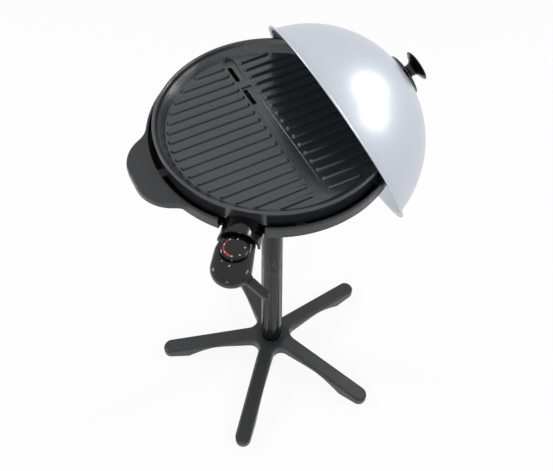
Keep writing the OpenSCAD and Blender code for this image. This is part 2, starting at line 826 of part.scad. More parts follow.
// Outline of an arch with straight feet, open below
function arch_points(r, foot) = concat([[r, -foot]], arc(0, 0, r, 0, 180, 32), [[-r, -foot]]);

module arch(r_out, r_in, foot) {
    inner = arch_points(r_in, foot);
    polygon(concat(arch_points(r_out, foot), [for (i = [len(inner) - 1 : -1 : 0]) inner[i]]));
}

module socket_hood() {
    back = wall_r - 6;
    wall_in = 2.6;
    color(gloss_black) toward_controller() difference() {
        union() {
            translate([back, 0, hood_z]) rotate([90, 0, 90])
                linear_extrude(hood_front - back - bead) arch(hood_r, hood_r - hood_t, hood_foot);
            // bead along the front edge
            translate([hood_front - bead, 0, hood_z]) rotate([90, 0, 90])
                linear_extrude(bead) arch(hood_r + 0.8, hood_r - hood_t, hood_foot);
            // back wall against the plate
            translate([back, 0, hood_z]) rotate([90, 0, 90])
                linear_extrude(wall_r + wall_in - back) polygon(arc(0, 0, hood_r - hood_t / 2, 0, 180, 32));
        }
        // the plate's wall
        rotate([0, 0, -probe_az]) translate([0, 0, hood_z - 30]) cylinder(r = hood_back, h = lip_h);
        // room over the bowl's edge
        translate([0, -hood_r - 5, hood_z - 20]) cube([ring_r - 1, 2 * hood_r + 10, 20 + notch_z - hood_z + 1]);
        // window for the pins and the probe
        translate([wall_r - 10, -pin_half - 8.4, pin_z - 30]) cube([20, 2 * pin_half + 16.8, 30 + skirt_z - pin_z + 0.4]);
        // screw holes
        for (s = [-1, 1]) translate([wall_r - 10, s * hood_screw_t, hood_screw_z]) rotate([0, 90, 0])
            cylinder(r = 1.7, h = 20);
    }
}

bead = 2.5;
hood_screw_t = 14;
hood_screw_z = skirt_z + 6;

module hood_screws() {
    color(bare_metal) toward_controller() for (s = [-1, 1])
        translate([wall_r + 2.6, s * hood_screw_t, hood_screw_z]) rotate([0, 90, 0])
            screw(1.6, 2.6 - seat_gap, 3.2, 1.8);
}

// Controller

nose_at = wall_r + 14;
dial_cx = wall_r + dial_at;
end_cx = wall_r + case_end_at;
case_mid = pin_z - 9;
case_low = pin_z - 22;
case_high = pin_z + 7;
case_span = 2 * end_cx;
neck_r = 9;
boot_dir = 58;
neck_x = end_cx + 13.5;
neck_y = 32;
dial_seat = case_high - 1.5;

// Disc with rounded edges from z0 to z1
module puck(x, y, r, z0, z1, e) {
    translate([x, y, 0]) rotate_extrude($fn = 48) {
        difference() {
            union() {
                translate([0, z0]) square([r - e, z1 - z0]);
                translate([0, z0 + e]) square([r, z1 - z0 - 2 * e]);
                translate([r - e, z0 + e]) circle(r = e, $fn = 24);
                translate([r - e, z1 - e]) circle(r = e, $fn = 24);
            }
            translate([-3 * r, z0 - 1]) square([3 * r, z1 - z0 + 2]);
        }
    }
}

// Outer form of the controller's case, with a neck that narrows to the boot
module case_form() {
    neck_from = [neck_x - 9, neck_y - 13];
    hull() {
        puck(nose_at + 22, 9, 22, case_low + 3, case_high, 13);
        puck(nose_at + 22, -10.5, 22, case_low + 3, case_high, 13);
        puck(dial_cx, -1.5, 34.5, case_low + 1, case_high, 13);
        puck(end_cx, 1, case_end_r, case_low, case_high - 7, 13);
    }
    hull() {
        puck(end_cx - 4, 9, 27, case_low + 1, case_high - 8, 10);
        puck(neck_from[0], neck_from[1], 14, case_low + 3, case_low + 20, 7);
    }
    hull() {
        puck(neck_from[0], neck_from[1], 14, case_low + 3, case_low + 20, 7);
        boot_place() for (s = [-1, 1]) puck(neck_r - 4.4, s * 4.3, 4.2, -6.5, 6.5, 3);
    }
}

module case_room() {
    translate([dial_cx - 22, -23, case_low + 4]) cube([34, 46, case_high - case_low - 9]);
    translate([end_cx, -1, case_low + 4]) cylinder(r = 24, h = case_high - case_low - 16);
}

module boot_place() {
    translate([neck_x, neck_y, case_low + 11]) rotate([0, 0, boot_dir]) children();
}

module controller_top() {
    color(gloss_black) toward_controller() difference() {
        case_form();
        translate([0, -case_span / 2, 0]) cube([case_span, case_span, case_mid]);
        case_room();
        translate([dial_cx, 0, dial_seat]) cylinder(r = dial_r + 3.5, h = 20);
        translate([dial_cx, 0, case_mid]) cylinder(r = spindle_r + running_gap, h = 60);
        translate([lens_x, lens_y, case_mid]) cylinder(r = 2.6, h = 60);
        plug_holes();
        boot_place() translate([0, 0, -5.2]) translate([0, -5.2, 0]) cube([60, 10.4, 10.4]);
    }
}

module plug_holes() {
    for (s = [-1, 1])
        translate([nose_at - 20, s * pin_half, pin_z]) rotate([0, 90, 0]) cylinder(r = pin_r + 1.6, h = 48);
    translate([nose_at - 20, 0, pin_z]) rotate([0, 90, 0]) cylinder(r = probe_r + 0.05, h = 48);
}

module controller_bottom() {
    color(gloss_black) toward_controller() difference() {
        case_form();
        translate([0, -case_span / 2, case_mid - 0.1]) cube([case_span, case_span, case_high]);
        case_room();
        for (s = [-1, 1]) translate([end_cx - 8, s * case_screw_t, case_low - 1]) {
            cylinder(r = 1.7, h = 40);
            cylinder(r = 3.6, h = 4);
        }
        boot_place() translate([0, -5.2, -5.2]) cube([60, 10.4, 10.4]);
    }
}

case_screw_t = 27;
lens_x = dial_cx + 25.5;
lens_y = -15;

module case_screws() {
    color(bare_metal) toward_controller() for (s = [-1, 1])
        translate([end_cx - 8, s * case_screw_t, case_low + 3]) rotate([180, 0, 0]) screw(1.6, 9, 3.2, 1.8);
}

module thermostat_switch() {
    color([0.7, 0.68, 0.6]) toward_controller() difference() {
        translate([dial_cx - 20, -13, case_low + 4.2]) cube([30, 26, 13]);
        translate([dial_cx, 0, case_low + 10]) cylinder(r = spindle_r + 0.6, h = 30);
    }
}

module probe_rod() {
    color(bare_metal) toward_controller() translate([nose_at + 24, 0, pin_z]) rotate([0, -90, 0]) {
        cylinder(r = probe_r, h = probe_len + 22);
        translate([0, 0, probe_len + 22]) sphere(r = probe_r, $fn = 32);
    }
}

module contact_sockets() {
    color([0.78, 0.65, 0.3]) toward_controller() for (s = [-1, 1])
        translate([nose_at + 1.5, s * pin_half, pin_z]) rotate([0, 90, 0]) difference() {
            cylinder(r = pin_r + 1.5, h = 24);
            translate([0, 0, -1]) cylinder(r = pin_r + seat_gap, h = 20);
        }
}

module pilot_lamp() {
    color([0.9, 0.45, 0.2]) toward_controller() translate([lens_x, lens_y, case_low + 4.1]) cylinder(r = 2.4, h = 9);
}

module indicator_lens() {
    color([0.5, 0.8, 0.6]) toward_controller() translate([lens_x, lens_y, case_low + 13.4]) {
        cylinder(r = 2.5, h = case_high - case_low - 16);
        translate([0, 0, case_high - case_low - 16]) cylinder(r1 = 2.5, r2 = 1.6, h = 0.9);
    }
}

module cord_boot() {
    color([0.14, 0.14, 0.15]) toward_controller() boot_place() difference() {
        union() {
            translate([neck_r - 3.4, -5, -5]) cube([6, 10, 10]);
            hull() {
                translate([neck_r + 0.2, -7.5, -5.6]) cube([1, 15, 11.2]);
                translate([neck_r + boot_len - 1, -6.5, -4.8]) cube([1, 13, 9.6]);
            }
        }
        rotate([0, 90, 0]) cylinder(r = cord_hole_r, h = boot_len * 2);
    }
}

module dial_spindle() {
    color(bare_metal) toward_controller() translate([dial_cx, 0, case_low + 11]) cylinder(r = spindle_r, h = case_high - case_low - 11 + 2);
}

module temperature_dial() {
    color(gloss_black) toward_controller() translate([dial_cx, 0, dial_seat + 0.5]) difference() {
        rotate_extrude() polygon([
            [0, 0], [dial_r + 1.5, 0], [dial_r + 1.8, 1.2], [dial_r + 0.9, dial_h - 1.4],
            [dial_r - 0.6, dial_h - 0.3], [dial_r - 2.2, dial_h], [0, dial_h]
        ]);
        translate([0, 0, -1]) cylinder(r = spindle_r, h = 1 + case_high - dial_seat - 0.5 + 2);
    }
}

// Lid, made upright with its rim plane at zero and turned to its parked place

park_z = ring_z - park_drop;
// half width of the tilted opening at the ring's widest place, and where the ring is as wide
meet_rise = park_drop - rim_round;
open_half = sqrt(lid_open_r * lid_open_r - pow(meet_rise / cos(park_tilt), 2)) - park_gap;
ring_meets = sqrt(ring_r * ring_r - open_half * open_half);
park_x = ring_meets + meet_rise * tan(park_tilt);
// height of the dome that clears the wing, and the radius of its ball
lid_h = (wing_reach + lid_room - park_x) / cos(park_tilt);
dome_r = (lid_open_r * lid_open_r + lid_h * lid_h) / (2 * lid_h);

module parked() {
    translate([park_x, 0, park_z]) rotate([0, 90 - park_tilt, 0]) children();
}

module lid_dome() {
    color(sheet_silver) parked() rotate_extrude($fn = 180) {
        difference() {
            intersection() {
                difference() {
                    translate([0, lid_h - dome_r]) circle(r = dome_r + lid_t, $fn = 360);
                    translate([0, lid_h - dome_r]) circle(r = dome_r, $fn = 360);
                }
                square([lid_open_r + 20, lid_h + 10]);
            }
            square([lid_hole_r, lid_h + 10]);
        }
        translate([lid_open_r, 0]) square([lid_flange, lid_t]);
        difference() {
            translate([lid_open_r + lid_flange, lid_roll]) circle(r = lid_roll, $fn = 24);
            translate([lid_open_r + lid_flange, lid_roll]) circle(r = lid_roll - 0.8, $fn = 24);
        }
    }
}

lid_hole_r = 3.2;
disc_gap = 4;
apex = lid_h + lid_t;
knob_z = apex + disc_gap + 3;

module lid_heat_disc() {
    color(gloss_black) parked() rotate_extrude() polygon([
        [lid_hole_r, apex], [9, apex], [9, apex + disc_gap - 1], [disc_r - 3, apex + disc_gap - 4],
        [disc_r, apex + disc_gap - 4.5], [disc_r, apex + disc_gap - 2.5], [disc_r - 4, apex + disc_gap - 0.8],
        [14, apex + disc_gap + 1.5], [14, knob_z], [lid_hole_r, knob_z]
    ]);
}

module lid_knob() {
    color(gloss_black) parked() difference() {
        rotate_extrude() polygon([
            [0, knob_z], [knob_waist + 3, knob_z], [knob_waist, knob_z + 4],
            [knob_waist, knob_z + knob_h * 0.45], [knob_waist + 3, knob_z + knob_h * 0.62],
            [knob_r - 3, knob_z + knob_h * 0.82], [knob_r, knob_z + knob_h * 0.88],
            [knob_r, knob_z + knob_h - 2], [knob_r - 1.5, knob_z + knob_h - 0.6],
            [knob_r - 4, knob_z + knob_h], [0, knob_z + knob_h]
        ]);
        translate([0, 0, knob_z - 1]) cylinder(r = 2, h = 21);
    }
}

module knob_washer() {
    color(bare_metal) parked() translate([0, 0, lid_h - 1.4]) difference() {
        cylinder(r = 9, h = 1.1);
        translate([0, 0, -1]) cylinder(r = 2.3, h = 4);
    }
}

module knob_screw() {
    color(bare_metal) parked() translate([0, 0, lid_h - 1.4]) rotate([180, 0, 0])
        screw(2, knob_z - lid_h + 16, 4.2, 2.6);
}

star_base();
foot_pads();
pole_collar();
pole_column();
pole_foot_plug();
base_washer();
base_bolt();
pole_top_cap();
base_housing();
table_feet();
heat_reflector();
reflector_screws();
tray_rails();
drip_tray();
grill_plate();
heating_element();
element_clamps();
clamp_screws();
terminal_pins();
terminal_block();
probe_tube();
socket_hood();
hood_screws();
controller_top();
controller_bottom();
thermostat_switch();
probe_rod();
contact_sockets();
pilot_lamp();
indicator_lens();
cord_boot();
case_screws();
dial_spindle();
temperature_dial();
lid_dome();
lid_heat_disc();
lid_knob();
knob_washer();
knob_screw();
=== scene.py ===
"""Looks of an electric grill on a stand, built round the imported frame."""

import json
import math

import bmesh
import bpy
import numpy as np
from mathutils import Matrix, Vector
from mathutils.bvhtree import BVHTree


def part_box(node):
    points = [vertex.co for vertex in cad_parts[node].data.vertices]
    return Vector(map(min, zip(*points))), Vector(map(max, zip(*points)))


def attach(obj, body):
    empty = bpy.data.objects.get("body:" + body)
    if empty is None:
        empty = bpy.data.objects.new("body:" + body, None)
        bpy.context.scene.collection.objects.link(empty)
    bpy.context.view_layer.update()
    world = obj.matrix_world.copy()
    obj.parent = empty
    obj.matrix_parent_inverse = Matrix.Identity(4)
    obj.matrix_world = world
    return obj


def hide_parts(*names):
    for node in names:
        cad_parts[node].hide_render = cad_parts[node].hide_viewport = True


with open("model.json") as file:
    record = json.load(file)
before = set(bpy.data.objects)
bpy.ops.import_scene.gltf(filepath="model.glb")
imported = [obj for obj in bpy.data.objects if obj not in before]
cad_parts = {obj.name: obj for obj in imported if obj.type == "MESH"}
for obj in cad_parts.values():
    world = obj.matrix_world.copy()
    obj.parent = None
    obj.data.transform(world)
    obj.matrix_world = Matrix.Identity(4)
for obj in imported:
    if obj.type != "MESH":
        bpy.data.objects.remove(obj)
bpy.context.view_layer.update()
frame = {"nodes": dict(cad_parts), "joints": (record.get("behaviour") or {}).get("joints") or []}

bl_info = {
    "name": "Stand grill",
    "version": (1, 0, 0),
    "blender": (4, 5, 0),
    "location": "3D View > Sidebar > Grill",
    "description": "Builds the finished surfaces of an electric grill on a stand",
    "category": "Object",
}

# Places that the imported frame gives

JOINTS = {joint["name"]: joint for joint in frame["joints"]}
LID_AXIS = np.array(JOINTS["lid_lift"]["axis"])
PLUG_AXIS = np.array(JOINTS["controller_pull"]["axis"])
DIAL_CENTRE = np.array(JOINTS["dial_turn"]["pos_m"])
UP = np.array([0.0, 0.0, 1.0])
SCREW_HOLE = 0.002


def low(node):
    """Lowest corner of a CAD node."""
    return np.array(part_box(node)[0])


def high(node):
    """Highest corner of a CAD node."""
    return np.array(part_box(node)[1])


# Curves and surfaces


def arc(centre, radius, start, end, steps):
    """Points of an arc: centre plus radius times cosine and sine, angles in degrees."""
    angle = np.radians(np.linspace(start, end, steps))
    return np.asarray(centre) + radius * np.stack([np.cos(angle), np.sin(angle)], axis=-1)


def rounded(corners, radii, steps=7):
    """Closed outline whose corners are arcs: each arc touches both sides that meet at its corner."""
    corners = np.asarray(corners, float)
    radii = np.broadcast_to(radii, len(corners))
    before = np.roll(corners, 1, axis=0) - corners
    after = np.roll(corners, -1, axis=0) - corners
    size_a = np.linalg.norm(before, axis=1)
    size_b = np.linalg.norm(after, axis=1)
    u = before / size_a[:, None]
    v = after / size_b[:, None]
    half = np.arccos(np.clip((u * v).sum(axis=1), -1, 1)) / 2
    reach = np.minimum(radii / np.tan(half), 0.49 * np.minimum(size_a, size_b))
    radius = reach * np.tan(half)
    middle = (u + v) / np.maximum(np.linalg.norm(u + v, axis=1), 1e-12)[:, None]
    centre = corners + middle * (radius / np.sin(half))[:, None]
    first = corners + u * reach[:, None] - centre
    last = corners + v * reach[:, None] - centre
    turn = math.pi - 2 * half
    t = np.linspace(0, 1, steps)[None, :]
    weight = np.maximum(np.sin(turn), 1e-9)[:, None]
    a = (np.sin((1 - t) * turn[:, None]) / weight)[..., None]
    b = (np.sin(t * turn[:, None]) / weight)[..., None]
    return (centre[:, None, :] + a * first[:, None, :] + b * last[:, None, :]).reshape(-1, 2)


def sheet_outline(path, thickness):
    """Closed outline of a bent sheet: the path moved half the thickness along its normal, out and back."""
    path = np.asarray(path, float)
    along = np.gradient(path, axis=0)
    along /= np.linalg.norm(along, axis=1)[:, None]
    normal = np.stack([along[:, 1], -along[:, 0]], axis=-1)
    return np.concatenate([path + normal * thickness / 2, (path - normal * thickness / 2)[::-1]])


def frame_of(axis):
    """Two unit vectors square to an axis and to each other."""
    axis = np.asarray(axis, float)
    side = np.cross(UP if abs(axis[2]) < 0.9 else np.array([1.0, 0.0, 0.0]), axis)
    side /= np.linalg.norm(side)
    return side, np.cross(axis, side)


def grid_mesh(name, points, close_u=False, close_v=False, caps=False):
    """Mesh over a grid of points: every four neighbours make a face, and coinciding points become one."""
    rows, columns = points.shape[:2]
    i = np.arange(rows if close_u else rows - 1)[:, None]
    j = np.arange(columns if close_v else columns - 1)[None, :]
    ahead = (i + 1) % rows
    beside = (j + 1) % columns
    quads = np.stack([i * columns + j, ahead * columns + j, ahead * columns + beside, i * columns + beside], axis=-1)
    faces = quads.reshape(-1, 4).tolist()
    if caps:
        faces.append(list(range(columns)))
        faces.append(list(range((rows - 1) * columns, rows * columns))[::-1])
    mesh = bpy.data.meshes.new(name)
    mesh.from_pydata(points.reshape(-1, 3), [], faces)
    tidy_mesh(mesh)
    return mesh


def tidy_mesh(mesh, angle=35):
    """Merges coinciding points, turns the faces outwards and shades smooth up to an angle."""
    work = bmesh.new()
    work.from_mesh(mesh)
    bmesh.ops.remove_doubles(work, verts=work.verts, dist=1e-6)
    bmesh.ops.dissolve_degenerate(work, edges=work.edges, dist=1e-7)
    bmesh.ops.recalc_face_normals(work, faces=work.faces)
    work.to_mesh(mesh)
    work.free()
    mesh.polygons.foreach_set("use_smooth", np.ones(len(mesh.polygons), bool))
    mesh.set_sharp_from_angle(angle=math.radians(angle))


def revolve(name, outline, origin, axis, steps=128):
    """Surface of revolution: origin + height * axis + radius * (cos a * side + sin a * up), a all round."""
    outline = np.asarray(outline, float)
    axis = np.asarray(axis, float)
    side, up = frame_of(axis)
    angle = np.linspace(0, 2 * math.pi, steps, endpoint=False)[:, None, None]
    radius = outline[None, :, 0, None]
    height = outline[None, :, 1, None]
    points = np.asarray(origin) + height * axis + radius * (np.cos(angle) * side + np.sin(angle) * up)
    return grid_mesh(name, points, close_u=True, close_v=True)


def joined(name, meshes):
    """One mesh out of several."""
    work = bmesh.new()
    for mesh in meshes:
        work.from_mesh(mesh)
        bpy.data.meshes.remove(mesh)
    mesh = bpy.data.meshes.new(name)
    work.to_mesh(mesh)
    work.free()
    tidy_mesh(mesh)
    return mesh


def surface_height(node, place):
    """Height of a CAD node's upper face under a place seen from above."""
    tree = BVHTree.FromObject(frame["nodes"][node], bpy.context.evaluated_depsgraph_get())
    above = Vector((place[0], place[1], high(node)[2] + 0.01))
    hit = tree.ray_cast(above, Vector((0, 0, -1)))[0]
    if hit is None:
        raise RuntimeError(f"{node} has no surface there")
    return hit.z


def add_piece(mesh, material, body, replaces=()):
    """Puts a mesh into the scene as a piece that rides on a body and wears a material."""
    piece = bpy.data.objects.new(mesh.name, mesh)
    bpy.context.scene.collection.objects.link(piece)
    mesh.materials.clear()
    mesh.materials.append(material)
    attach(piece, body)
    if replaces:
        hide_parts(*replaces)
    return piece


# Finishes

FINISHES = {}


def shader_group(name, inputs, outputs):
    """Input node, output node and group; the two nodes are None if the group was built before."""
    if name in bpy.data.node_groups:
        return None, None, bpy.data.node_groups[name]
    group = bpy.data.node_groups.new(name, "ShaderNodeTree")
    for label, kind, default in inputs:
        socket = group.interface.new_socket(label, in_out="INPUT", socket_type=kind)
        socket.default_value = default
    for label, kind in outputs:
        group.interface.new_socket(label, in_out="OUTPUT", socket_type=kind)
    start = group.nodes.new("NodeGroupInput")
    end = group.nodes.new("NodeGroupOutput")
    return start, end, group


def grain_group():
    """Moulded or sprayed surface: fine noise gives the bump, broad noise shifts colour and roughness."""
    start, end, group = shader_group(
        "surface_grain",
        [
            ("Color", "NodeSocketColor", (0.1, 0.1, 0.1, 1)),
            ("Tint", "NodeSocketColor", (0.1, 0.1, 0.1, 1)),
            ("Grain Size", "NodeSocketFloat", 900.0),
            ("Grain Depth", "NodeSocketFloat", 0.05),
            ("Cloud Size", "NodeSocketFloat", 9.0),
            ("Roughness", "NodeSocketFloat", 0.4),
            ("Roughness Shift", "NodeSocketFloat", 0.08),
            ("Edge Radius", "NodeSocketFloat", 0.001),
        ],
        [("Color", "NodeSocketColor"), ("Roughness", "NodeSocketFloat"), ("Normal", "NodeSocketVector")],
    )
    if start is None:
        return group
    nodes, links = group.nodes, group.links
    place = nodes.new("ShaderNodeTexCoord")
    fine = nodes.new("ShaderNodeTexNoise")
    fine.inputs["Detail"].default_value = 3
    broad = nodes.new("ShaderNodeTexNoise")
    broad.inputs["Detail"].default_value = 4
    for noise, size in ((fine, "Grain Size"), (broad, "Cloud Size")):
        links.new(place.outputs["Object"], noise.inputs["Vector"])
        links.new(start.outputs[size], noise.inputs["Scale"])
    blend = nodes.new("ShaderNodeMix")
    blend.data_type = "RGBA"
    links.new(broad.outputs["Fac"], blend.inputs["Factor"])
    links.new(start.outputs["Color"], blend.inputs["A"])
    links.new(start.outputs["Tint"], blend.inputs["B"])
    shift = nodes.new("ShaderNodeMapRange")
    shift.inputs["To Min"].default_value = -0.5
    shift.inputs["To Max"].default_value = 0.5
    links.new(broad.outputs["Fac"], shift.inputs["Value"])
    scaled = nodes.new("ShaderNodeMath")
    scaled.operation = "MULTIPLY_ADD"
    links.new(shift.outputs["Result"], scaled.inputs[0])
    links.new(start.outputs["Roughness Shift"], scaled.inputs[1])
    links.new(start.outputs["Roughness"], scaled.inputs[2])
    soft_edge = nodes.new("ShaderNodeBevel")
    soft_edge.samples = 4
    links.new(start.outputs["Edge Radius"], soft_edge.inputs["Radius"])
    bump = nodes.new("ShaderNodeBump")
    bump.inputs["Distance"].default_value = 0.0006
    links.new(soft_edge.outputs["Normal"], bump.inputs["Normal"])
    links.new(fine.outputs["Fac"], bump.inputs["Height"])
    links.new(start.outputs["Grain Depth"], bump.inputs["Strength"])
    links.new(blend.outputs["Result"], end.inputs["Color"])
    links.new(scaled.outputs["Value"], end.inputs["Roughness"])
    links.new(bump.outputs["Normal"], end.inputs["Normal"])
    return group


def finish(name, color, tint=None, grain=900.0, depth=0.05, cloud=9.0, rough=0.4, shift=0.08, metallic=0.0, coat=0.0,
           specular=0.5, edge=0.001):
    """Material of one finish: the grain group feeds a Principled shader whose even values stand on its sockets."""
    if name in FINISHES:
        return FINISHES[name]
    material = FINISHES[name] = bpy.data.materials.new(name + "_finish")
    material.use_nodes = True
    nodes, links = material.node_tree.nodes, material.node_tree.links
    shader = nodes["Principled BSDF"]
    even = {"Metallic": metallic, "Coat Weight": coat, "Coat Roughness": 0.08, "Specular IOR Level": specular}
    for label, value in even.items():
        shader.inputs[label].default_value = value
    group = nodes.new("ShaderNodeGroup")
    group.node_tree = grain_group()
    grained = {"Color": (*color, 1), "Tint": (*(tint or color), 1), "Grain Size": grain, "Grain Depth": depth,
               "Cloud Size": cloud, "Roughness": rough, "Roughness Shift": shift, "Edge Radius": edge}
    for label, value in grained.items():
        group.inputs[label].default_value = value
    for label, target in (("Color", "Base Color"), ("Roughness", "Roughness"), ("Normal", "Normal")):
        links.new(group.outputs[label], shader.inputs[target])
    return material


def coated_plate():
    return finish("coated_plate", (0.016, 0.02, 0.022), (0.023, 0.028, 0.031), grain=1500, depth=0.08, rough=0.22,
                  shift=0.05, specular=0.85, edge=0.0015)


def housing_plastic():
    return finish("housing_plastic", (0.018, 0.0185, 0.02), (0.026, 0.027, 0.029), grain=1800, depth=0.06, rough=0.27,
                  specular=0.45, edge=0.003)


def stand_plastic():
    return finish("stand_plastic", (0.016, 0.0165, 0.018), (0.024, 0.025, 0.027), grain=1100, depth=0.15, rough=0.36,
                  specular=0.35, edge=0.004)


def gloss_black():
    return finish("gloss_black", (0.003, 0.003, 0.0035), grain=300, depth=0.002, rough=0.11, shift=0.01,
                  specular=0.4, edge=0.002)


def column_paint():
    return finish("column_paint", (0.006, 0.0065, 0.0075), (0.01, 0.0105, 0.012), grain=1500, depth=0.04, rough=0.2,
                  specular=0.22, edge=0.0006)


def rubber():
    return finish("soft_rubber", (0.012, 0.012, 0.013), grain=1200, depth=0.15, rough=0.38, specular=0.35, edge=0.003)


def plain_steel():
    return finish("plain_steel", (0.5, 0.5, 0.52), (0.42, 0.42, 0.44), grain=700, depth=0.05, rough=0.3, metallic=1.0)


def reflector_sheet():
    return finish("reflector_sheet", (0.62, 0.63, 0.65), (0.55, 0.55, 0.57), grain=200, depth=0.05, rough=0.25,
                  metallic=1.0)


def tray_sheet():
    return finish("tray_sheet", (0.55, 0.56, 0.58), (0.5, 0.5, 0.52), grain=260, depth=0.06, rough=0.34, metallic=1.0)


def element_sheath():
    return finish("element_sheath", (0.08, 0.075, 0.07), (0.05, 0.05, 0.055), grain=600, depth=0.2, rough=0.5,
                  metallic=0.7)


def ceramic():
    return finish("ceramic_block", (0.7, 0.67, 0.6), (0.62, 0.6, 0.54), grain=900, depth=0.1, rough=0.6)


def tan_moulding():
    return finish("inner_tan", (0.5, 0.4, 0.26), (0.44, 0.36, 0.24), grain=900, depth=0.1, rough=0.5)


def plain_brass():
    return finish("brass_contact", (0.7, 0.5, 0.2), (0.6, 0.44, 0.2), grain=700, depth=0.05, rough=0.3, metallic=1.0)


def lamp_amber():
    return finish("lamp_amber", (0.8, 0.25, 0.05), grain=300, depth=0.01, rough=0.2)


def lens_green():
    return finish("lens_green", (0.12, 0.3, 0.22), (0.1, 0.25, 0.2), grain=300, depth=0.01, rough=0.12, coat=0.5)


def lid_silver():
    return finish("lid_silver", (0.6, 0.635, 0.69), (0.57, 0.605, 0.665), grain=2600, depth=0.03, cloud=5, rough=0.34,
                  shift=0.03, metallic=0.75)


def mark_white():
    return finish("mark_white", (0.8, 0.8, 0.8), grain=500, depth=0.02, rough=0.5)


def mark_red():
    return finish("mark_red", (0.6, 0.04, 0.03), grain=500, depth=0.02, rough=0.5)


CAD_FINISHES = {
    stand_plastic: ["star_base", "pole_top_cap", "pole_foot_plug", "tray_rails"],
    gloss_black: ["pole_collar", "socket_hood", "controller_top", "controller_bottom", "temperature_dial",
                  "lid_heat_disc", "lid_knob"],
    rubber: ["foot_pads", "table_feet", "cord_boot"],
    column_paint: ["pole_column"],
    housing_plastic: ["base_housing"],
    coated_plate: ["grill_plate"],
    reflector_sheet: ["heat_reflector"],
    tray_sheet: ["drip_tray"],
    element_sheath: ["heating_element"],
    ceramic: ["terminal_block"],
    tan_moulding: ["thermostat_switch"],
    plain_brass: ["contact_sockets"],
    lamp_amber: ["pilot_lamp"],
    lens_green: ["indicator_lens"],
    lid_silver: ["lid_dome"],
    plain_steel: ["base_washer", "base_bolt", "reflector_screws", "element_clamps", "clamp_screws", "terminal_pins",
                  "probe_tube", "hood_screws", "probe_rod", "case_screws", "dial_spindle", "knob_washer",
                  "knob_screw"],
}


# Sizes and colours that a user would change


class LidSizes(bpy.types.PropertyGroup):
    """Sizes of the dome lid and its knob."""

    flange: bpy.props.FloatProperty(
        name="Flange", description="Width of the flange round the opening", default=0.008, unit="LENGTH")
    sheet: bpy.props.FloatProperty(
        name="Sheet", description="Thickness of the dome's sheet", default=0.0012, unit="LENGTH")
    roll: bpy.props.FloatProperty(
        name="Rolled edge", description="Radius of the rolled edge", default=0.0018, unit="LENGTH")


class MarkSizes(bpy.types.PropertyGroup):
    """Sizes of the marks on the dial and its case."""

    circle: bpy.props.FloatProperty(
        name="Circle", description="Radius of the circle of dots", default=0.018, unit="LENGTH")
    dot: bpy.props.FloatProperty(
        name="Dot", description="Radius of a dot", default=0.0013, unit="LENGTH")
    height: bpy.props.FloatProperty(
        name="Height", description="How far the marks stand up", default=0.0003, unit="LENGTH")
    pointer: bpy.props.FloatProperty(
        name="Pointer", description="Distance of the pointer from the dial's centre", default=0.0325, unit="LENGTH")


class StageLook(bpy.types.PropertyGroup):
    """Camera and light."""

    floor_color: bpy.props.FloatVectorProperty(
        name="Floor", description="Colour of the floor", subtype="COLOR", size=3, default=(0.95, 0.95, 0.95))
    key_power: bpy.props.FloatProperty(
        name="Key light", description="Power of the main lamp in watts", default=13.0, min=0.0)


# Operators


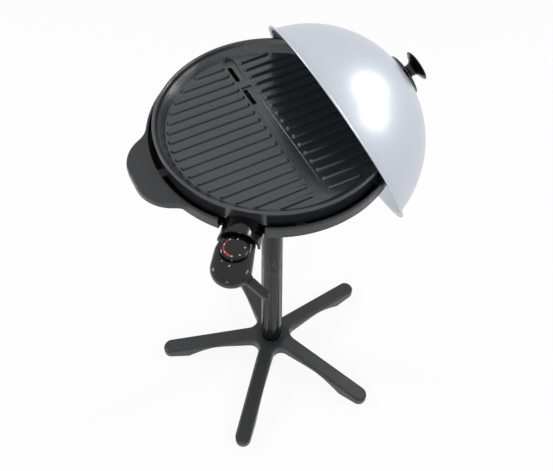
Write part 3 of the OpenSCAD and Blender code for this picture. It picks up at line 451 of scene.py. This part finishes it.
class GRILL_OT_stage(bpy.types.Operator):
    """Floor, lamps, world and camera"""

    bl_idname = "grill.stage"
    bl_label = "Stage"

    def execute(self, context):
        look = context.scene.stage_look
        scene = context.scene
        scene.view_settings.view_transform = "Standard"
        self.camera(scene)
        self.floor(look)
        self.world(scene)
        self.lamps(look)
        return {"FINISHED"}

    def camera(self, scene):
        """Camera solved from the photograph: about 1.7 m away, looking 54 degrees down."""
        data = bpy.data.cameras.new("camera")
        data.sensor_width = 36
        data.lens = 47.47
        data.shift_x = 0.01565
        data.shift_y = -0.0113
        camera = bpy.data.objects.new("camera", data)
        camera.location = (-0.44869, -0.85123, 1.90296)
        camera.rotation_euler = (math.radians(35.924), 0, math.radians(-27.2))
        scene.collection.objects.link(camera)
        scene.camera = camera

    def floor(self, look):
        """Large pale square under the feet, which glows a little for the camera and for reflections."""
        reach = 6.0
        corners = [(-reach, -reach, 0), (reach, -reach, 0), (reach, reach, 0), (-reach, reach, 0)]
        mesh = bpy.data.meshes.new("floor")
        mesh.from_pydata(corners, [], [(0, 1, 2, 3)])
        floor = bpy.data.objects.new("floor", mesh)
        bpy.context.scene.collection.objects.link(floor)
        material = bpy.data.materials.new("floor_paper")
        material.use_nodes = True
        nodes, links = material.node_tree.nodes, material.node_tree.links
        shader = nodes["Principled BSDF"]
        shader.inputs["Base Color"].default_value = (*look.floor_color, 1)
        shader.inputs["Roughness"].default_value = 0.9
        glow = nodes.new("ShaderNodeEmission")
        glow.inputs["Strength"].default_value = 1.0
        mix = nodes.new("ShaderNodeMixShader")
        path = nodes.new("ShaderNodeLightPath")
        seen = nodes.new("ShaderNodeMath")
        seen.operation = "MAXIMUM"
        links.new(path.outputs["Is Camera Ray"], seen.inputs[0])
        links.new(path.outputs["Is Glossy Ray"], seen.inputs[1])
        share = nodes.new("ShaderNodeMath")
        share.operation = "MULTIPLY"
        share.inputs[1].default_value = 0.9
        links.new(seen.outputs["Value"], share.inputs[0])
        links.new(share.outputs["Value"], mix.inputs["Fac"])
        links.new(shader.outputs["BSDF"], mix.inputs[1])
        links.new(glow.outputs["Emission"], mix.inputs[2])
        links.new(mix.outputs["Shader"], nodes["Material Output"].inputs["Surface"])
        mesh.materials.append(material)

    def world(self, scene):
        """White where the camera or a reflection sees it, dimmer where it lights the object."""
        world = bpy.data.worlds.new("studio")
        world.use_nodes = True
        scene.world = world
        nodes, links = world.node_tree.nodes, world.node_tree.links
        seen = nodes["Background"]
        seen.inputs["Color"].default_value = (1, 1, 1, 1)
        seen.inputs["Strength"].default_value = 1.0
        lit = nodes.new("ShaderNodeBackground")
        lit.inputs["Color"].default_value = (0.96, 0.98, 1, 1)
        lit.inputs["Strength"].default_value = 0.55
        path = nodes.new("ShaderNodeLightPath")
        seen_by = path.outputs["Is Camera Ray"]
        for kind in ("Is Glossy Ray", "Is Transmission Ray"):
            either = nodes.new("ShaderNodeMath")
            either.operation = "MAXIMUM"
            links.new(path.outputs[kind], either.inputs[0])
            links.new(seen_by, either.inputs[1])
            seen_by = either.outputs["Value"]
        mix = nodes.new("ShaderNodeMixShader")
        links.new(seen_by, mix.inputs["Fac"])
        links.new(lit.outputs["Background"], mix.inputs[1])
        links.new(seen.outputs["Background"], mix.inputs[2])
        links.new(mix.outputs["Shader"], nodes["World Output"].inputs["Surface"])

    def lamps(self, look):
        """Soft box and narrow strip at the right, small boxes at the front left and behind; power in key powers."""
        for name, place, target, width, height, share in (
            ("key", (2.1, -1.15, 2.4), (0.2, 0, 1.0), 0.7, 0.7, 0.8),
            ("strip", (2.01, -0.11, 2.32), (-0.17, -0.19, 0.9), 0.16, 0.7, 1.0),
            ("fill", (-2.0, -2.1, 1.9), (-0.2, -0.2, 0.8), 0.4, 0.4, 1.6),
            ("back", (-1.9, 1.6, 1.9), (0, 0, 0.9), 0.5, 0.5, 1.6),
        ):
            data = bpy.data.lights.new(name, "AREA")
            data.shape = "RECTANGLE"
            data.size = width
            data.size_y = height
            data.energy = look.key_power * share
            lamp = bpy.data.objects.new(name, data)
            lamp.location = place
            lamp.rotation_euler = (Vector(target) - Vector(place)).to_track_quat("-Z", "Y").to_euler()
            bpy.context.scene.collection.objects.link(lamp)


class GRILL_OT_finishes(bpy.types.Operator):
    """Finishes of every CAD node"""

    bl_idname = "grill.finishes"
    bl_label = "Finishes"

    def execute(self, context):
        for make, names in CAD_FINISHES.items():
            for name in names:
                mesh = frame["nodes"][name].data
                mesh.materials.clear()
                mesh.materials.append(make())
        missing = set(frame["nodes"]) - {name for names in CAD_FINISHES.values() for name in names}
        if missing:
            raise RuntimeError(f"no finish for {sorted(missing)}")
        return {"FINISHED"}


def along_axis(node, centre):
    """Height along the lid's axis and distance from it of each vertex of a CAD node, from the rim's centre."""
    mesh = frame["nodes"][node].data
    spots = np.empty(3 * len(mesh.vertices))
    mesh.vertices.foreach_get("co", spots)
    away = spots.reshape(-1, 3) - centre
    height = away @ LID_AXIS
    return height, np.linalg.norm(away - height[:, None] * LID_AXIS, axis=1)


class GRILL_OT_lid(bpy.types.Operator):
    """Dome lid with its heat disc and knob"""

    bl_idname = "grill.lid"
    bl_label = "Lid"

    def execute(self, context):
        sizes = context.scene.lid_sizes
        tilt = math.atan2(LID_AXIS[2], LID_AXIS[0])
        rim = (high("lid_dome")[1] - low("lid_dome")[1]) / 2
        turn = rim - sizes.roll
        opening = turn - sizes.flange
        lowest = low("lid_dome")
        centre = np.array([
            lowest[0] + turn * math.sin(tilt) + sizes.roll * (1 - math.cos(tilt)),
            0.0,
            lowest[2] + turn * math.cos(tilt) + sizes.roll * (1 - math.sin(tilt)),
        ])
        self.dome(sizes, centre, opening, turn, along_axis("lid_dome", centre)[0].max())
        self.disc(centre)
        self.knob(centre)
        return {"FINISHED"}

    def dome(self, sizes, centre, opening, turn, depth):
        """Sphere cap of radius (opening squared + depth squared) / (2 depth), flat flange, rolled edge."""
        half = sizes.sheet / 2
        bend_width = 0.0035
        bend_angle = 0.6
        inner_depth = depth - sizes.sheet
        ball = (opening**2 + inner_depth**2) / (2 * inner_depth)
        heart = inner_depth - ball
        edge = math.degrees(math.asin(-heart / ball))
        cap = arc((0, heart), ball + half, 90, edge + bend_angle, 90)
        curl = arc((turn, sizes.roll), sizes.roll - half, -90, 170, 22)
        path = np.concatenate([cap, [(opening + bend_width, half)], curl])
        mesh = revolve("lid_dome_skin", sheet_outline(path, sizes.sheet), centre, LID_AXIS, 180)
        add_piece(mesh, lid_silver(), "lid", ["lid_dome"])

    def disc(self, centre):
        """Outline turned about the lid's axis: short neck, flat cone with a rounded rim, hub under the knob."""
        height, away = along_axis("lid_heat_disc", centre)
        foot, top, reach = height.min(), height.max(), away.max()
        seat = height[away < 0.02].min()
        neck = 0.009
        hub = 0.014
        corners = [(SCREW_HOLE, seat), (neck, seat), (neck, seat + 0.0028), (reach - 0.003, foot + 0.0006),
                   (reach, foot), (reach, foot + 0.0022), (reach - 0.004, foot + 0.0038),
                   (hub, foot + 0.006), (hub, top), (SCREW_HOLE, top)]
        radii = [0.0003, 0.0006, 0.001, 0.001, 0.0007, 0.0009, 0.004, 0.0015, 0.0006, 0.0003]
        mesh = revolve("heat_disc_skin", rounded(corners, radii), centre, LID_AXIS)
        add_piece(mesh, gloss_black(), "lid", ["lid_heat_disc"])

    def knob(self, centre):
        """Outline turned about the lid's axis: waisted stem, flared cap with a rounded rim, shallow hollow on top."""
        height, away = along_axis("lid_knob", centre)
        foot, top, reach = height.min(), height.max(), away.max()
        tall = top - foot
        waist = 0.013
        hole_end = foot + 0.7 * tall
        corners = [(SCREW_HOLE, foot), (waist + 0.003, foot), (waist, foot + 0.004), (waist, foot + 0.45 * tall),
                   (waist + 0.004, foot + 0.63 * tall), (reach - 0.003, foot + 0.82 * tall),
                   (reach, foot + 0.88 * tall), (reach, top - 0.002), (reach - 0.0015, top - 0.0006),
                   (reach - 0.004, top), (reach - 0.009, top - 0.0028), (0, top - 0.004),
                   (0, hole_end), (SCREW_HOLE, hole_end)]
        radii = [0.0003, 0.001, 0.004, 0.008, 0.006, 0.004, 0.002, 0.002, 0.002, 0.002, 0.006, 0, 0, 0]
        mesh = revolve("lid_knob_skin", rounded(corners, radii), centre, LID_AXIS)
        add_piece(mesh, gloss_black(), "lid", ["lid_knob"])


class GRILL_OT_marks(bpy.types.Operator):
    """Dots and heat band on the dial, pointer dash on the case"""

    bl_idname = "grill.marks"
    bl_label = "Dial marks"

    def execute(self, context):
        sizes = context.scene.mark_sizes
        out = PLUG_AXIS / np.linalg.norm(PLUG_AXIS)
        side = np.cross(UP, out)
        centre = np.array([DIAL_CENTRE[0], DIAL_CENTRE[1], high("temperature_dial")[2]])
        button = self.button(sizes.dot, sizes.height)
        dots = [revolve("dot", button, centre + sizes.circle * (math.cos(a) * out + math.sin(a) * side), UP, 20)
                for a in np.radians([-142, 175, -97, -46, 2, 46, 102])]
        add_piece(joined("dial_dots", dots), mark_white(), "dial")
        add_piece(self.band(sizes, centre, out, side), mark_red(), "dial")
        add_piece(self.dash(sizes, out, side), mark_white(), "controller")
        return {"FINISHED"}

    def button(self, radius, height):
        """Outline of a dot: a quarter ellipse over a straight underside that lies a little below the surface."""
        dome = arc((0, 0), 1, 90, 0, 8) * (radius, height)
        return np.concatenate([dome, [(radius, -0.0002), (0, -0.0002)]])

    def band(self, sizes, centre, out, side):
        """Heat band: an arc on the dots' circle whose half width grows evenly from its cold end to its hot end."""
        steps = 60
        turn = np.radians(np.linspace(-138, -3, steps))
        middle = np.cos(turn)[:, None] * out + np.sin(turn)[:, None] * side
        half = np.linspace(0.0005, 0.0019, steps)[:, None]
        rim = np.array([-1.0, -0.7, 0.7, 1.0, 1.0, -1.0])
        level = np.array([0.4, 1.0, 1.0, 0.4, -1.0, -1.0]) * sizes.height * 0.6
        points = centre + middle[:, None, :] * (sizes.circle + half * rim)[..., None] + level[None, :, None] * UP
        return grid_mesh("dial_heat_band", points, close_v=True, caps=True)

    def dash(self, sizes, out, side):
        """Short slanted pointer on the case: a bar whose half width follows the root of 1 - t^4 along its length."""
        half_length = 0.0024
        half_width = 0.0007
        place = DIAL_CENTRE + sizes.pointer * out
        top = surface_height("controller_top", place)
        along = 0.8 * out - 0.6 * side
        across = np.cross(UP, along)
        t = np.linspace(-1, 1, 13)
        half = half_width * np.sqrt(np.maximum(1 - t**4, 0.02))
        rim = np.array([-1.0, -0.6, 0.6, 1.0, 1.0, -1.0])
        level = np.array([0.2, 1.0, 1.0, 0.2, -2.0, -2.0]) * sizes.height * 0.6
        points = (np.array([place[0], place[1], top]) + (half_length * t)[:, None, None] * along
                  + (half[:, None] * rim)[..., None] * across + level[None, :, None] * UP)
        return grid_mesh("case_pointer", points, close_v=True, caps=True)


class GRILL_PT_panel(bpy.types.Panel):
    """Buttons that build the grill"""

    bl_idname = "GRILL_PT_panel"
    bl_label = "Stand grill"
    bl_space_type = "VIEW_3D"
    bl_region_type = "UI"
    bl_category = "Grill"

    def draw(self, context):
        for group in (context.scene.stage_look, context.scene.lid_sizes, context.scene.mark_sizes):
            for name in group.bl_rna.properties.keys():
                if name not in {"rna_type", "name"}:
                    self.layout.prop(group, name)
        for operator in OPERATORS:
            self.layout.operator(operator.bl_idname)


OPERATORS = (GRILL_OT_stage, GRILL_OT_finishes, GRILL_OT_lid, GRILL_OT_marks)
GROUPS = {"lid_sizes": LidSizes, "mark_sizes": MarkSizes, "stage_look": StageLook}


def register():
    """Registers the classes and their settings on the scene."""
    for group in (*GROUPS.values(), *OPERATORS, GRILL_PT_panel):
        bpy.utils.register_class(group)
    for name, group in GROUPS.items():
        setattr(bpy.types.Scene, name, bpy.props.PointerProperty(type=group))


def unregister():
    """Takes the classes and settings away again."""
    for name in GROUPS:
        delattr(bpy.types.Scene, name)
    for group in (GRILL_PT_panel, *OPERATORS[::-1], *GROUPS.values()):
        bpy.utils.unregister_class(group)


def main():
    """Builds every piece."""
    register()
    for operator in OPERATORS:
        folder, name = operator.bl_idname.split(".")
        getattr(getattr(bpy.ops, folder), name)()


if __name__ == "__main__":
    main()
